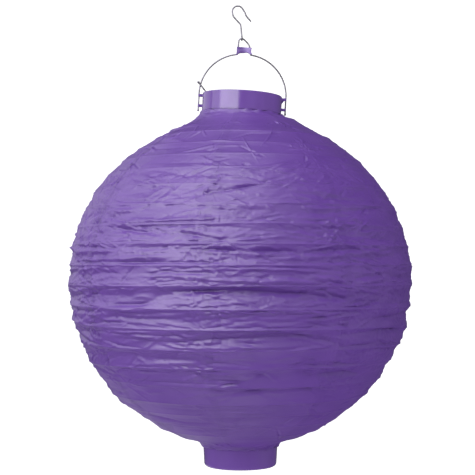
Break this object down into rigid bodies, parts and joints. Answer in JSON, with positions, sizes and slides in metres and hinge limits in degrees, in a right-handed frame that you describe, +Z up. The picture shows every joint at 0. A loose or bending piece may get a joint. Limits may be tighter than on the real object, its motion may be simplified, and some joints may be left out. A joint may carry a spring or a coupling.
{
  "type": "hanging paper lantern",
  "caption": "Round collapsible purple paper lantern on wire hoops, with a wire bail and S-hook above and a battery light in its base cup.",
  "frame": {"origin": "on the lantern's upright axis, on the inner side of the S-hook's crown, where a nail or a line bears", "axes": "+Z up along the globe's axis; the bail and the S-hook lie in the XZ plane, +X is to the right and -Y faces the viewer"},
  "size_m": [0.2998, 0.2998, 0.4053],
  "materials": {
    "steel_wire": "drawn wire, satin",
    "purple_plastic": "glossy moulded plastic",
    "purple_sleeve": "soft glossy plastic",
    "purple_paper": "thin crumpled paper with a slight sheen",
    "cell_jacket": "printed metal jacket with no marks",
    "plated_contacts": "nickel plated",
    "black_plastic": "matt",
    "white_plastic": "matt",
    "screw_steel": "zinc plated",
    "board_green": "solder mask",
    "led_clear": "clear epoxy over a yellow phosphor",
    "frosted_dome": "frosted translucent"
  },
  "bodies": {
    "hook": {"s_hook": "steel_wire"},
    "lantern": {"hanger_bail": "steel_wire", "loop_sleeve": "purple_sleeve", "top_collar": "purple_plastic", "bail_catch": "steel_wire", "hoop_01": "steel_wire", "hoop_02": "steel_wire", "hoop_03": "steel_wire", "hoop_04": "steel_wire", "hoop_05": "steel_wire", "hoop_06": "steel_wire", "hoop_07": "steel_wire", "hoop_08": "steel_wire", "hoop_09": "steel_wire", "hoop_10": "steel_wire", "hoop_11": "steel_wire", "hoop_12": "steel_wire", "hoop_13": "steel_wire", "hoop_14": "steel_wire", "hoop_15": "steel_wire", "hoop_16": "steel_wire", "hoop_17": "steel_wire", "hoop_18": "steel_wire", "hoop_19": "steel_wire", "hoop_20": "steel_wire", "hoop_21": "steel_wire", "hoop_22": "steel_wire", "hoop_23": "steel_wire", "paper_gore_1": "purple_paper", "paper_gore_2": "purple_paper", "paper_gore_3": "purple_paper", "paper_gore_4": "purple_paper", "paper_gore_5": "purple_paper", "paper_gore_6": "purple_paper", "paper_gore_7": "purple_paper", "paper_gore_8": "purple_paper"},
    "base": {"bottom_cup": "purple_plastic", "cell_left": "cell_jacket", "cell_right": "cell_jacket", "contact_springs": "plated_contacts", "contact_plates": "plated_contacts", "switch_body": "black_plastic", "light_deck": "white_plastic", "deck_screws": "screw_steel", "led_board": "board_green", "leds": "led_clear", "driver_chip": "black_plastic", "light_dome": "frosted_dome"},
    "door": {"battery_door": "purple_plastic"},
    "knob": {"switch_knob": "black_plastic"}
  },
  "joints": [
    {"name": "lantern_swing", "type": "hinge", "parent": "hook", "child": "lantern", "pos_m": [0.00133, 0, -0.02758], "axis": [1, 0, 0], "range_deg": [-45, 45]},
    {"name": "shade_collapse", "type": "slide", "parent": "lantern", "child": "base", "axis": [0, 0, 1], "range_m": [0, 0.262], "deforming": ["hoop_01", "hoop_02", "hoop_03", "hoop_04", "hoop_05", "hoop_06", "hoop_07", "hoop_08", "hoop_09", "hoop_10", "hoop_11", "hoop_12", "hoop_13", "hoop_14", "hoop_15", "hoop_16", "hoop_17", "hoop_18", "hoop_19", "hoop_20", "hoop_21", "hoop_22", "hoop_23", "paper_gore_1", "paper_gore_2", "paper_gore_3", "paper_gore_4", "paper_gore_5", "paper_gore_6", "paper_gore_7", "paper_gore_8"]},
    {"name": "door_hinge", "type": "hinge", "parent": "base", "child": "door", "pos_m": [0, -0.024, -0.40205], "axis": [-1, 0, 0], "range_deg": [0, 100]},
    {"name": "switch_slide", "type": "slide", "parent": "base", "child": "knob", "axis": [0, 1, 0], "range_m": [0, 0.002]}
  ]
}
